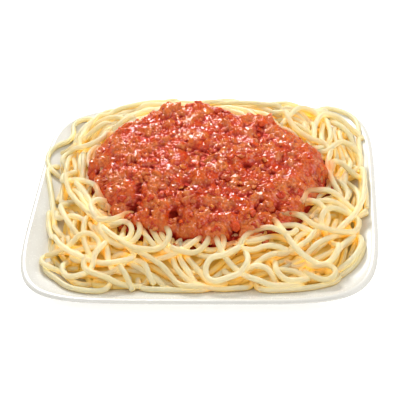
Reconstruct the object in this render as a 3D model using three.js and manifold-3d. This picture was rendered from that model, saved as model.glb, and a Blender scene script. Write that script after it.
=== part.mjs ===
// A plate of spaghetti bolognese: a square white plate with round corners, a heap of spaghetti
// that fills it to the lip, and a thick meat sauce poured over the middle of the heap.
// Millimetres, +Z up, +Y away from the diner, origin under the middle of the plate's foot.
import * as THREE from "three";
import { mergeVertices } from "three/addons/utils/BufferGeometryUtils.js";
import Module from "manifold-3d";

const wasm = await Module();
wasm.setup();

// Plate
const PLATE_HALF = 90; // middle of the plate to the lip, along X or Y
const PLATE_POWER = 5.7; // squareness of the outline: 2 is round, more is squarer
const PLATE_SPOKES = 56;
const CORNER_CROWDING = 0.55; // how much closer the spokes stand at the corners
const WELL_Z = 5; // top of the flat middle
const LIP_Z = 14.6;
const FOOT_INNER = 0.515; // shares of the half width
const FOOT_OUTER = 0.565;
const FOOT_RECESS = 1.6;

// Heap of spaghetti
const HEAP_HALF = 82; // middle of the heap to its outermost strands
const HEAP_POWER = 4.5;
const HEAP_MIDDLE = new THREE.Vector2(2.5, 2);
const HEAP_PEAK = new THREE.Vector2(2, 20); // the heap is highest behind its middle
const HEAP_EDGE_Z = 13.6;
const HEAP_RISE = 25; // edge of the heap to its top
const FRONT_FALL = 0.8; // the front falls away evenly
const BACK_FALL = 0.45; // the back stays high and ends steeply
const CORE_DEPTH = 4.5; // the core lies this far under the tops of the strands
const CORE_REACH = 0.96; // share of the way from the peak to the outermost strands
const CORE_RINGS = 9;
const CORE_SPOKES = 48;

// Strands
const STRAND_RADIUS = 1.55;
const STRAND_SIDES = 5;
const STRAND_STEP = 6; // between the rings of a strand's skin
const COURSE_STEP = 2; // between the points of its course
const SHORTEST_STRAND = 14;
const SUNK = 0.7; // height of a strand's middle over the core, in radii
const CROSSING = 1.75; // height of a strand's middle over one that it crosses, in radii

// The crowd of strands between the marked ones
const CROWD_TRIES = 300;
const CROWD_SPACING = 3.2; // from a strand's ends and middle to the strands already placed
const CROWD_LENGTH = [16, 36]; // of each of its two bends
const CROWD_TURN = 130; // the most that a bend turns, in degrees
const CROWD_SLANT = 65; // the most that it starts away from the sauce's edge, in degrees

// The strands that stand out, from the left corner round the front, the right and the back.
// Each starts at a place with a heading in degrees, and each bend is a length and its turn.
const MARKED_STRANDS = [
  { at: [-72, 3], heading: -80, bends: [[32, 25], [17, 5], [15, 95]] },
  { at: [-53, -37], heading: 130, bends: [[14, -115]] },
  { at: [-49, -44], heading: -85, bends: [[22, 90], [19, 165], [6, 10]] },
  { at: [-76, -53], heading: -25, bends: [[17, 70], [26, -205]] },
  { at: [-68, -54], heading: -60, bends: [[22, 55], [11, -10], [13, 130]] },
  { at: [-66, -65], heading: -95, bends: [[26, 185]] },
  { at: [-52, -72], heading: -40, bends: [[18, 40], [8, 0]] },
  { at: [-31, -59], heading: -40, bends: [[12, 20], [13, -35], [14, 55]] },
  { at: [-34, -59], heading: -25, bends: [[14, 35], [22, 160]] },
  { at: [-15, -62], heading: -85, bends: [[9, 50], [14, 30]] },
  { at: [5, -66], heading: -125, bends: [[9, 35], [10, 60]] },
  { at: [24, -72], heading: -140, bends: [[12, -20], [21, -190], [8, 5]] },
  { at: [9, -54], heading: -65, bends: [[11, 0], [32, 70], [8, 0]] },
  { at: [39, -66], heading: -105, bends: [[21, 145], [6, 10]] },
  { at: [39, -45], heading: -55, bends: [[18, -5], [28, 140]] },
  { at: [56, -72], heading: -25, bends: [[7, 10], [17, 215]] },
  { at: [81, -41], heading: -95, bends: [[6, 0], [20, -50]] },
  { at: [53, -40], heading: 5, bends: [[32, 75], [12, 125], [21, 70]] },
  { at: [66, -27], heading: 85, bends: [[12, -80], [14, 70]] },
  { at: [68, 25], heading: 65, bends: [[8, 0], [15, -145], [6, -10]] },
  { at: [58, 34], heading: 95, bends: [[20, -25], [14, -80], [14, -30]] },
  { at: [-22, 62], heading: 15, bends: [[24, -10], [20, -30], [16, 15]] },
  { at: [-70, 40], heading: 75, bends: [[24, -20], [18, -45], [24, 20]] },
];

// Sauce
const SAUCE_MIDDLE = new THREE.Vector2(2, -6);
// Middle to edge in even steps round the middle, from +X towards +Y
const SAUCE_REACH = [63, 62, 55, 53, 50, 56, 56, 50, 61, 65, 60, 55, 56, 52, 50, 53, 58, 55, 57, 54];
const SAUCE_THICK = 5.4;
const SAUCE_EDGE_DROP = 1; // the sauce's edge lies this far under the tops of the strands
const SAUCE_RINGS = 9;
const SAUCE_SPOKES = 54;
const LUMP_COUNT = 36;
const LUMP_RADIUS = [2.4, 4.2];
const LUMP_REACH = 0.88;

const GAP = 0.35; // between pieces that rest on each other
const SAUCE_GAP = 0.8; // under the sauce, whose facets cross those of the core
const STRAND_GAP = 1.2; // between a strand's side and the sauce

const GOLDEN_ANGLE = Math.PI * (3 - Math.sqrt(5));
const { degToRad, radToDeg, lerp } = THREE.MathUtils;

// The same draws on every run, from 0 up to 1
function drawsFrom(seed) {
  let state = seed;
  return () => {
    state = (state * 1664525 + 1013904223) % 2 ** 32;
    return state / 2 ** 32;
  };
}

// Smooth bumps between -1 and 1, about one unit across
function bumps(x, y) {
  const corner = (i, j) => {
    const wave = Math.sin(i * 127.1 + j * 311.7) * 43758.5453;
    return 2 * (wave - Math.floor(wave)) - 1;
  };
  const [i, j] = [Math.floor(x), Math.floor(y)];
  const [u, v] = [x - i, y - j].map((t) => t * t * (3 - 2 * t));
  const near = lerp(corner(i, j), corner(i + 1, j), u);
  const far = lerp(corner(i, j + 1), corner(i + 1, j + 1), u);
  return lerp(near, far, v);
}

// How far out a point lies in a rounded square: 0 in the middle, 1 on the outline
function squareShare(x, y, half, power) {
  return (Math.abs(x / half) ** power + Math.abs(y / half) ** power) ** (1 / power);
}

// Inner face of the plate, as [share of the half width, height]
const INNER_PROFILE = [
  [0.955, LIP_Z - 1],
  [0.9, 12.2],
  [0.76, 8.3],
  [0.62, 5.6],
  [0.54, WELL_Z],
  [0, WELL_Z],
];

function plateTop(x, y) {
  const share = squareShare(x, y, PLATE_HALF, PLATE_POWER);
  for (let k = 0; k + 1 < INNER_PROFILE.length; k++) {
    const [outer, high] = INNER_PROFILE[k];
    const [inner, low] = INNER_PROFILE[k + 1];
    if (share >= inner) return lerp(low, high, (share - inner) / (outer - inner));
  }
  return WELL_Z;
}

function onHeap(x, y) {
  return squareShare(x - HEAP_MIDDLE.x, y - HEAP_MIDDLE.y, HEAP_HALF, HEAP_POWER) < 1;
}

// From the heap's peak to its outermost strands in one direction
function heapReach(angle) {
  let [inside, outside] = [0, 3 * HEAP_HALF];
  for (let k = 0; k < 24; k++) {
    const middle = (inside + outside) / 2;
    const x = HEAP_PEAK.x + middle * Math.cos(angle);
    const y = HEAP_PEAK.y + middle * Math.sin(angle);
    if (onHeap(x, y)) inside = middle;
    else outside = middle;
  }
  return inside;
}

// Tops of the strands, before they are uneven
function heapTop(x, y) {
  const out = new THREE.Vector2(x, y).sub(HEAP_PEAK);
  const share = Math.min(1, out.length() / heapReach(out.angle()));
  const towardsBack = (1 + out.normalize().y) / 2;
  return HEAP_EDGE_Z + HEAP_RISE * (1 - share * share) ** lerp(FRONT_FALL, BACK_FALL, towardsBack);
}

function coreTop(x, y) {
  return Math.max(plateTop(x, y) + 3 * GAP, heapTop(x, y) - CORE_DEPTH);
}

// From the sauce's middle to its edge: a smooth closed curve through its reaches
function sauceReach(angle) {
  const count = SAUCE_REACH.length;
  const place = ((((angle / (2 * Math.PI)) % 1) + 1) % 1) * count;
  const k = Math.floor(place);
  const [before, from, to, after] = [-1, 0, 1, 2].map((n) => SAUCE_REACH[(k + n + count) % count]);
  const t = place - k;
  const bend = (to - before) / 2;
  const nextBend = (after - from) / 2;
  const ease = t * t * (3 - 2 * t);
  return lerp(from, to, ease) + bend * t * (1 - t) ** 2 - nextBend * t * t * (1 - t);
}

function sauceTop(x, y) {
  const out = new THREE.Vector2(x, y).sub(SAUCE_MIDDLE);
  const share = Math.min(1, out.length() / sauceReach(out.angle()));
  const rolls = 1.3 * bumps(x / 13, y / 13) + 1.1 * bumps(x / 7 + 9, y / 7);
  return heapTop(x, y) - SAUCE_EDGE_DROP + (SAUCE_THICK + rolls) * (1 - share ** 4) ** 0.6;
}

// Solids from three.js meshes, and back
function solidFrom(geometry) {
  const bare = new THREE.BufferGeometry();
  const loose = geometry.index ? geometry.toNonIndexed() : geometry;
  bare.setAttribute("position", loose.getAttribute("position"));
  const merged = mergeVertices(bare, 1e-3);
  const vertProperties = new Float32Array(merged.attributes.position.array);
  const triVerts = new Uint32Array(merged.index.array);
  return new wasm.Manifold(new wasm.Mesh({ numProp: 3, vertProperties, triVerts }));
}

function geometryFrom(solid) {
  const mesh = solid.getMesh();
  const geometry = new THREE.BufferGeometry();
  geometry.setAttribute("position", new THREE.BufferAttribute(new Float32Array(mesh.vertProperties), 3));
  geometry.setIndex(new THREE.BufferAttribute(new Uint32Array(mesh.triVerts), 1));
  geometry.computeVertexNormals();
  return geometry;
}

// Joins solids, and keeps the one outer skin: sealed hollows are filled and loose scraps dropped
function fuse(geometries) {
  const skins = wasm.Manifold.union(geometries.map(solidFrom)).decompose();
  skins.sort((a, b) => b.volume() - a.volume());
  return geometryFrom(skins[0]);
}

// A lathe turned about Z, whose vertices place(share, layer, angle) then moves
function shapedLathe(profile, spokes, place) {
  const points = profile.map(([share, layer]) => new THREE.Vector2(share, layer));
  const lathe = new THREE.LatheGeometry(points, spokes).rotateX(Math.PI / 2);
  const position = lathe.getAttribute("position");
  for (let k = 0; k < position.count; k++) {
    const [x, y] = [position.getX(k), position.getY(k)];
    const share = Math.hypot(x, y);
    position.setXYZ(k, ...place(share, position.getZ(k), share > 1e-6 ? Math.atan2(y, x) : 0));
  }
  return lathe;
}

// A low mound between two height fields, inside a reach from a middle point
function mound(middle, reach, top, bottom, rings, spokes) {
  const shares = Array.from({ length: rings + 1 }, (_, k) => Math.sin(((k / rings) * Math.PI) / 2));
  const under = shares.filter((_, k) => k % 2 === 0 && k < rings);
  const profile = [...under.map((s) => [s, 0]), [1, 0], ...shares.map((s) => [s, 1]).reverse()];
  return shapedLathe(profile, spokes, (share, layer, angle) => {
    const x = middle.x + share * reach(angle) * Math.cos(angle);
    const y = middle.y + share * reach(angle) * Math.sin(angle);
    return [x, y, layer > 0.5 ? top(x, y) : bottom(x, y)];
  });
}

function plate() {
  const under = [
    [0, FOOT_RECESS],
    [FOOT_INNER - 0.015, FOOT_RECESS],
    [FOOT_INNER, 0],
    [FOOT_OUTER, 0],
    [FOOT_OUTER + 0.02, 1.6],
    [0.69, 3.4],
    [0.95, 10.6],
  ];
  const lip = [
    [0.99, 12],
    [1, 13.3],
    [0.978, LIP_Z],
  ];
  return shapedLathe([...under, ...lip, ...INNER_PROFILE], PLATE_SPOKES, (share, z, turn) => {
    const angle = turn + (CORNER_CROWDING * Math.sin(4 * turn)) / 4;
    const radius = share / squareShare(Math.cos(angle), Math.sin(angle), PLATE_HALF, PLATE_POWER);
    return [radius * Math.cos(angle), radius * Math.sin(angle), z];
  });
}

function core() {
  const reach = (angle) => CORE_REACH * heapReach(angle);
  const bottom = (x, y) => plateTop(x, y) + GAP;
  return mound(HEAP_PEAK, reach, coreTop, bottom, CORE_RINGS, CORE_SPOKES);
}

// A strand's course seen from above
function course({ at, heading, bends }) {
  const points = [new THREE.Vector2(...at)];
  let angle = degToRad(heading);
  for (const [length, turn] of bends) {
    const steps = Math.round(length / COURSE_STEP);
    for (let k = 0; k < steps; k++) {
      angle += degToRad(turn) / steps;
      const step = new THREE.Vector2(Math.cos(angle), Math.sin(angle)).multiplyScalar(length / steps);
      points.push(step.add(points.at(-1)));
    }
  }
  return points;
}

// The longest stretch of a course that stays on the heap and clear of the sauce
function clearStretch(points) {
  let [best, run] = [[], []];
  for (const point of points) {
    const out = point.clone().sub(SAUCE_MIDDLE);
    const clear = out.length() > sauceReach(out.angle()) + STRAND_RADIUS + STRAND_GAP;
    run = clear && onHeap(point.x, point.y) ? [...run, point] : [];
    if (run.length > best.length) best = run;
  }
  return best;
}

// Lowers a course onto the core, the plate and the strands laid before it
function lay(points, laid) {
  const resting = [];
  points.forEach(({ x, y }, k) => {
    const onPlate = plateTop(x, y) + 1.1 * STRAND_RADIUS + GAP;
    let z = Math.max(onPlate, coreTop(x, y) + SUNK * STRAND_RADIUS);
    const ownTurns = resting.slice(0, Math.max(0, k - 4));
    for (const under of [...laid, ...ownTurns]) {
      const apart = Math.hypot(x - under.x, y - under.y) / STRAND_RADIUS;
      if (apart < CROSSING) z = Math.max(z, under.z + STRAND_RADIUS * Math.sqrt(CROSSING ** 2 - apart ** 2));
    }
    resting.push(new THREE.Vector3(x, y, z));
  });
  // A strand is stiff, so it bridges the dips
  for (let pass = 0; pass < 4; pass++) {
    for (let k = 1; k + 1 < resting.length; k++) {
      resting[k].z = Math.max(resting[k].z, (resting[k - 1].z + resting[k + 1].z) / 2);
    }
  }
  return resting;
}

function crowdStrand(k, draw) {
  const around = k * GOLDEN_ANGLE;
  const direction = new THREE.Vector2(Math.cos(around), Math.sin(around));
  const inner = sauceReach(around) + STRAND_RADIUS + STRAND_GAP;
  let outer = inner;
  while (onHeap(SAUCE_MIDDLE.x + outer * direction.x, SAUCE_MIDDLE.y + outer * direction.y)) outer += 1;
  const start = direction.multiplyScalar(lerp(inner, outer, draw())).add(SAUCE_MIDDLE);
  const heading = radToDeg(around) + 90 + CROWD_SLANT * (2 * draw() - 1);
  const bend = () => [lerp(...CROWD_LENGTH, draw()), CROWD_TURN * (2 * draw() - 1)];
  return { at: start.toArray(), heading, bends: [bend(), bend()] };
}

// The courses from bottom to top: the crowd where the marked strands leave room, and then those
function courses() {
  const isLong = (points) => (points.length - 1) * COURSE_STEP >= SHORTEST_STRAND;
  const marked = MARKED_STRANDS.map((strand) => clearStretch(course(strand))).filter(isLong);
  const draw = drawsFrom(5);
  const crowd = [];
  for (let k = 0; k < CROWD_TRIES; k++) {
    const points = clearStretch(course(crowdStrand(k, draw)));
    const probes = [0, points.length >> 1, points.length - 1].map((n) => points[n]);
    const placed = [...marked, ...crowd].flat();
    const hasRoom = () => placed.every((p) => probes.every((q) => p.distanceTo(q) > CROWD_SPACING));
    if (isLong(points) && hasRoom()) crowd.push(points);
  }
  return [...crowd, ...marked];
}

function spaghetti() {
  const outline = Array.from({ length: STRAND_SIDES }, (_, k) => {
    const angle = (k / STRAND_SIDES) * 2 * Math.PI;
    return new THREE.Vector2(Math.cos(angle), Math.sin(angle)).multiplyScalar(STRAND_RADIUS);
  });
  const section = new THREE.Shape(outline);
  const laid = [];
  const strands = courses().map((points) => {
    const resting = lay(points, laid);
    laid.push(...resting);
    const extrudePath = new THREE.CatmullRomCurve3(resting);
    const steps = Math.round(extrudePath.getLength() / STRAND_STEP);
    return new THREE.ExtrudeGeometry(section, { steps, extrudePath, bevelEnabled: false });
  });
  return fuse([core(), ...strands]);
}

function sauce() {
  const bottom = (x, y) => coreTop(x, y) + SAUCE_GAP;
  const body = mound(SAUCE_MIDDLE, sauceReach, sauceTop, bottom, SAUCE_RINGS, SAUCE_SPOKES);
  const draw = drawsFrom(7);
  const lumps = Array.from({ length: LUMP_COUNT }, (_, k) => {
    const angle = k * GOLDEN_ANGLE + draw() - 0.5;
    const out = LUMP_REACH * Math.sqrt((k + draw()) / LUMP_COUNT) * sauceReach(angle);
    const x = SAUCE_MIDDLE.x + out * Math.cos(angle);
    const y = SAUCE_MIDDLE.y + out * Math.sin(angle);
    const radius = lerp(...LUMP_RADIUS, draw());
    const lump = new THREE.IcosahedronGeometry(radius, 0);
    lump.scale(1, lerp(0.5, 1.1, draw()), lerp(0.5, 0.8, draw()));
    lump.rotateX(draw() - 0.5).rotateZ(2 * Math.PI * draw());
    return lump.translate(x, y, sauceTop(x, y) - 0.1 * radius);
  });
  return fuse([body, ...lumps]);
}

const group = new THREE.Group();

function add(name, geometry, color, roughness) {
  const mesh = new THREE.Mesh(geometry, new THREE.MeshStandardMaterial({ color, roughness, metalness: 0 }));
  mesh.name = name;
  group.add(mesh);
}

add("plate", plate(), "#f4f3ef", 0.2);
add("spaghetti", spaghetti(), "#f0dca0", 0.5);
add("bolognese_sauce", sauce(), "#b8401f", 0.3);

export default group;
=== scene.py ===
import functools
import math

import bmesh
import bpy
import numpy as np
from bpy.props import FloatProperty, FloatVectorProperty, PointerProperty
from mathutils import Matrix, Vector


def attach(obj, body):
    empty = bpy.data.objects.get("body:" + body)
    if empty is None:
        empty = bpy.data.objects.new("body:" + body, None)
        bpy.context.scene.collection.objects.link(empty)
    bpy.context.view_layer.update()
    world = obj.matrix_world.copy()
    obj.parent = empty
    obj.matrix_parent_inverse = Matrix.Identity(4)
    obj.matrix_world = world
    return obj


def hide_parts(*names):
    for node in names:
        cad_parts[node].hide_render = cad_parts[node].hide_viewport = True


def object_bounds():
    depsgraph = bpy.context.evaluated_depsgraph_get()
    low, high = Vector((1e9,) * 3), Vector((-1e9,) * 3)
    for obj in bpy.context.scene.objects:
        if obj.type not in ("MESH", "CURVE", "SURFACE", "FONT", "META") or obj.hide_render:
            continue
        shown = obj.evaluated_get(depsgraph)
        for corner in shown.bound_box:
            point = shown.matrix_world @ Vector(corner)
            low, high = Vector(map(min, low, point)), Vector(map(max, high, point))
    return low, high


bl_info = {
    "name": "Spaghetti Bolognese",
    "version": (1, 0, 0),
    "blender": (4, 5, 0),
    "location": "3D View > Sidebar > Bolognese",
    "description": "Lays the strands, pours the sauce and glazes the plate of a spaghetti bolognese",
    "category": "Add Mesh",
}

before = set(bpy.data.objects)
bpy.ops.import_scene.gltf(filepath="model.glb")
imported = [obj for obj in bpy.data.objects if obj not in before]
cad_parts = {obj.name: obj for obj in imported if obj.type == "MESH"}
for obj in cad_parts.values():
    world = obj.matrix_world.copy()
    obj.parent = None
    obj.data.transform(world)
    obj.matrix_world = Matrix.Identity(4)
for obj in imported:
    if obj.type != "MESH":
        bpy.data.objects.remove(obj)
CAD_LOW, CAD_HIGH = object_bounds()

MM = 0.001
BODY = "root"

# The forms below are in millimetres, as the plate's own sizes are

# Plate
PLATE_HALF = CAD_HIGH.x / MM
PLATE_POWER = 5.7
LIP_Z = 14.6
WELL_Z = 5.0
INNER_SHARES = [0.0, 0.54, 0.62, 0.76, 0.9, 0.955]
INNER_HEIGHTS = [WELL_Z, WELL_Z, 5.6, 8.3, 12.2, LIP_Z - 1]

# Heap of spaghetti
HEAP_HALF = 82.0
HEAP_POWER = 4.5
HEAP_MIDDLE = (2.5, 2.0)
HEAP_PEAK = (2.0, 20.0)
HEAP_EDGE_Z = 13.6
HEAP_RISE = 25.0
FRONT_FALL = 0.8
BACK_FALL = 0.45

# Sauce
SAUCE_MIDDLE = (2.0, -6.0)
SAUCE_REACH = [63, 65, 58, 56, 53, 58, 60, 64, 68, 67, 60, 55, 55, 52, 47, 48, 52, 53, 58, 56]

# The strands that stand out, lowest first: a start, a heading in degrees, and bends with each one's turn
LOWER_STRANDS = [
    ((67, 85), -15, [(28, -75), (49, 0), (32, -5)]),
    ((67, 56), -30, [(25, -50), (49, -10)]),
    ((29, 70), -20, [(28, 10), (9, 60)]),
    ((42, 43), 65, [(16, -5), (14, -115)]),
    ((43, 47), -85, [(27, 75), (13, -95), (30, 45)]),
    ((63, 53), -100, [(22, 15)]),
    ((64, 56), -70, [(21, -25)]),
    ((78, 5), -60, [(17, -40)]),
    ((67, 7), 120, [(12, -160), (9, 100)]),
    ((-48, 52), 160, [(28, 50)]),
    ((-57, 48), -145, [(16, -10), (11, -65)]),
    ((-55, 36), -100, [(21, -135), (11, 145)]),
    ((-66, 22), -80, [(22, -10)]),
    ((-86, 20), -75, [(46, -5), (13, 20)]),
    ((-69, -30), -5, [(22, -65)]),
    ((-72, -23), -75, [(31, 30)]),
    ((-57, -36), -100, [(26, 40)]),
    ((-67, -54), -5, [(13, -50)]),
    ((-51, -44), -50, [(21, -35)]),
    ((-66, -65), -70, [(12, 45)]),
    ((-22, -78), -5, [(24, 5)]),
    ((3, -78), 0, [(19, 5)]),
    ((36, -79), 0, [(30, 20)]),
    ((-27, -48), -70, [(13, 35)]),
    ((-24, -46), -60, [(14, 5)]),
    ((-21, -45), -55, [(12, -10)]),
    ((-11, -63), -85, [(19, 70)]),
    ((-8, -62), -75, [(17, 40)]),
    ((-4, -63), -55, [(15, 10)]),
    ((-33, -64), -35, [(25, 5)]),
    ((-30, -64), 0, [(9, -75), (7, 35)]),
    ((-32, -61), -105, [(22, -100)]),
    ((71, -38), 70, [(13, 0)]),
    ((48, -56), 80, [(16, -60)]),
    ((50, -58), 40, [(15, 30)]),
    ((52, -61), 40, [(32, 10)]),
    ((53, -64), 25, [(32, 35)]),
    ((65, -62), 55, [(24, 10)]),
    ((82, -43), -90, [(30, -55)]),
    ((22, -72), 35, [(27, -5)]),
    ((32, -78), 90, [(10, -115)]),
    ((41, -68), 0, [(11, -30)]),
    ((23, -71), 35, [(21, -100)]),
    ((40, -46), 30, [(13, -55)]),
    ((52, -29), 55, [(26, -80)]),
    ((49, -33), 80, [(20, -145)]),
    ((-69, -1), -65, [(39, 0)]),
    ((-66, -4), -60, [(31, -10)]),
]
UPPER_STRANDS = [
    ((-72, 3), -20, [(30, -55)]),
    ((1, -54), -130, [(25, -55)]),
    ((6, -53), -90, [(23, -130)]),
    ((11, -52), -20, [(7, -90)]),
    ((-76, -53), -30, [(17, 75), (26, -205)]),
    ((-80, -18), -85, [(34, 25), (42, 70), (9, 120)]),
    ((-66, -65), -95, [(26, 185)]),
    ((-52, -72), -35, [(25, 50)]),
    ((-36, -70), -55, [(11, -5)]),
    ((-49, -44), -85, [(20, 80), (27, 215)]),
    ((-46, -48), -55, [(9, 25), (19, 225)]),
    ((-73, 3), -75, [(49, 25), (15, 90)]),
    ((-53, -37), 110, [(7, -5), (8, -125)]),
    ((-31, -60), -20, [(27, -30), (11, 55)]),
    ((-34, -59), -30, [(16, 45), (20, 155)]),
    ((39, -45), -55, [(18, -5), (28, 140)]),
    ((10, -55), -75, [(49, 90)]),
    ((39, -66), -100, [(27, 175)]),
    ((45, -40), 20, [(10, -60), (35, 125), (8, 100), (23, 85)]),
    ((53, -27), 95, [(28, -135), (13, 80)]),
    ((56, -72), -40, [(10, 55), (13, 190)]),
    ((24, -71), -130, [(14, -40), (19, -180), (8, 15)]),
    ((43, -59), 155, [(13, 55), (11, -85)]),
    ((40, -51), 140, [(22, 115)]),
    ((81, -41), -85, [(26, -60)]),
    ((68, 25), 65, [(8, 0), (15, -145), (6, -10)]),
    ((58, 34), 95, [(20, -25), (14, -80), (14, -30)]),
    ((-22, 62), 15, [(24, -10), (20, -30), (16, 15)]),
    ((-73, 76), -160, [(13, 85), (16, -60), (33, 90)]),
    ((-70, 40), 75, [(24, -20), (18, -45), (24, 20)]),
    ((84, 16), -87, [(26, -12), (30, -24)]),
]
# Swells and hollows of the sauce: a place, how wide and how high
SWELLS = [
    (-33, -38, 5, -3), (-6, -29, 4, -2), (3, -29, 4, -2), (39, -37, 4, -3), (40, -44, 5, -4),
    (20, -52, 4, -3), (-10, -43, 4, -2), (-55, 1, 3, -2.5), (-52, -14, 3, -2.5), (-47, -32, 3, -2.5),
    (9, -56, 3, -2), (-35, 31, 4, -1.5), (-20, 6, 3, -1.5), (30, 23, 5, -1.5), (-10, 43, 3, -1.5),
    (-22, -25, 4, 1.5), (-12, -24, 4, 1.5), (-1, -22, 4, 1.5), (34, -44, 5, 3), (7, -34, 4, 1.5),
    (-5, -53, 5, 2), (4, -55, 5, 2), (-46, 35, 7, 2), (-20, 44, 7, 5.5), (-6, 48, 8, 5),
    (34, 37, 3.5, 5), (60, 1, 6, 1.5), (-44, -25, 4, 1.5), (25, -46, 4, 1.5), (-61, 6, 3.5, 1.5),
    (-31, -14, 5, 1.5), (-46, 9, 6, 1.5), (15, -6, 6, 1.5), (45, 8, 6, 1.5), (51, -21, 6, 1.5),
    (-16, -49, 5, 1.2), (16, 31, 7, 1.5),
]  # fmt: skip


def length(name, description, default):
    """A size in metres that a user may change."""
    return FloatProperty(name=name, description=description, default=default, unit="LENGTH", precision=5)


def colour(name, description, default):
    """A colour that a user may change."""
    return FloatVectorProperty(
        name=name, description=description, default=default, subtype="COLOR", size=3, min=0, max=1
    )


def share(name, description, default):
    """A number from 0 to 1 that a user may change."""
    return FloatProperty(
        name=name, description=description, default=default, min=0, max=1, subtype="FACTOR"
    )


class PlateSettings(bpy.types.PropertyGroup):
    """Sizes and glaze of the plate"""

    half_width: length("Half Width", "Middle of the plate to its lip", CAD_HIGH.x)
    glaze: colour("Glaze", "White of the glaze", (0.8, 0.775, 0.705))


class SpaghettiSettings(bpy.types.PropertyGroup):
    """Sizes and colours of the strands"""

    width: length("Strand Width", "Thickness of a cooked strand", 0.0029)
    pale: colour("Pale", "Strands on top of the heap", (0.75, 0.65, 0.375))
    # Amber is painted shade: the strands are painted towards it where they lie deep in the heap or in
    # narrow gaps
    amber: colour("Amber", "Strands deep in the heap", (0.96, 0.695, 0.2))
    stained: colour("Stained", "Strands beside the sauce", (0.75, 0.27, 0.06))


class SauceSettings(bpy.types.PropertyGroup):
    """Sizes and colours of the sauce"""

    thickness: length("Thickness", "Sauce over the strands in the middle", 0.0054)
    red: colour("Tomato Red", "Tomato flesh in the light", (0.74, 0.07, 0.005))
    # Deep Red is both the dark liquid of the sauce, mixed in at random, and the painted shade in its pits,
    # hollows and narrow gaps
    deep: colour("Deep Red", "Liquid between the lumps", (0.4, 0.015, 0.001))
    meat: colour("Meat", "Minced meat under a film of sauce", (0.6, 0.1, 0.017))
    vegetable: colour("Vegetable", "Bits of carrot and onion", (0.86, 0.2, 0.02))


class StageSettings(bpy.types.PropertyGroup):
    """Floor and lights"""

    floor: colour("Floor", "Colour of the pale floor", (0.93, 0.93, 0.93))
    room_light: share("Room Light", "Strength of the even light", 0.54)
    softbox: share("Softbox", "Light over the plate, from behind", 0.49)
    front_light: share("Front Light", "Light over the camera", 0.14)
    side_light: share("Side Light", "Light from the right", 0.24)


# Forms in millimetres, on arrays of x and y


def smooth_step(value, low, high):
    """0 under low, 1 over high and an even rise between."""
    t = np.clip((value - low) / (high - low), 0, 1)
    return t * t * (3 - 2 * t)


def bumps(x, y):
    """Smooth bumps between -1 and 1, about one unit across, the same on every run."""

    def corner(i, j):
        wave = np.sin(i * 127.1 + j * 311.7) * 43758.5453
        return 2 * (wave - np.floor(wave)) - 1

    i, j = np.floor(x), np.floor(y)
    u, v = smooth_step(x - i, 0, 1), smooth_step(y - j, 0, 1)
    near = corner(i, j) * (1 - u) + corner(i + 1, j) * u
    far = corner(i, j + 1) * (1 - u) + corner(i + 1, j + 1) * u
    return near * (1 - v) + far * v


def unit(vectors):
    """The same directions, all of length one."""
    return vectors / np.linalg.norm(vectors, axis=-1, keepdims=True)


def square_share(x, y, half, power):
    """How far out a point lies in a rounded square: 0 in the middle, 1 on the outline."""
    return (np.abs(x / half) ** power + np.abs(y / half) ** power) ** (1 / power)


def plate_top(x, y):
    """Height of the plate's inner face."""
    return np.interp(square_share(x, y, PLATE_HALF, PLATE_POWER), INNER_SHARES, INNER_HEIGHTS)


def heap_edge(x, y):
    """0 in the middle of the heap, 1 at its outermost strands."""
    return square_share(x - HEAP_MIDDLE[0], y - HEAP_MIDDLE[1], HEAP_HALF, HEAP_POWER)


def heap_reach(across, along, edge):
    """From the heap's peak, along these ways, to where this share of the way out is reached."""
    inside, outside = np.zeros_like(across), np.full_like(across, 3 * HEAP_HALF)
    for _ in range(20):
        reach = (inside + outside) / 2
        on_heap = heap_edge(HEAP_PEAK[0] + reach * across, HEAP_PEAK[1] + reach * along) < edge
        inside, outside = np.where(on_heap, reach, inside), np.where(on_heap, outside, reach)
    return inside


def heap_top(x, y):
    """Tops of the strands, before they are uneven."""
    across, along = x - HEAP_PEAK[0], y - HEAP_PEAK[1]
    distance = np.hypot(across, along) + 1e-9
    across, along = across / distance, along / distance
    way = np.minimum(1, distance / heap_reach(across, along, 1))
    fall = FRONT_FALL + (BACK_FALL - FRONT_FALL) * (1 + along) / 2
    return HEAP_EDGE_Z + HEAP_RISE * (1 - way**2) ** fall


def sauce_reach(angle):
    """From the sauce's middle to its edge: a smooth closed curve through its reaches."""
    reaches = np.array(SAUCE_REACH, float)
    count = len(reaches)
    place = (angle / (2 * math.pi) % 1) * count
    k = np.floor(place).astype(int)
    t = place - k
    before, start, end, after = (reaches[(k + n) % count] for n in (-1, 0, 1, 2))
    ease = t * t * (3 - 2 * t)
    turn = (end - before) / 2 * t * (1 - t) ** 2 - (after - start) / 2 * t * t * (1 - t)
    return start * (1 - ease) + end * ease + turn


def sauce_share(x, y):
    """0 in the sauce's middle, 1 at its edge."""
    across, along = x - SAUCE_MIDDLE[0], y - SAUCE_MIDDLE[1]
    return np.hypot(across, along) / sauce_reach(np.arctan2(along, across))


def soft_kernel(width, step):
    """Weights that smooth away what is narrower than about this width."""
    reach = max(1, int(2.5 * width / step))
    return np.exp(-0.5 * (np.arange(-reach, reach + 1) * step / width) ** 2)


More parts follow.
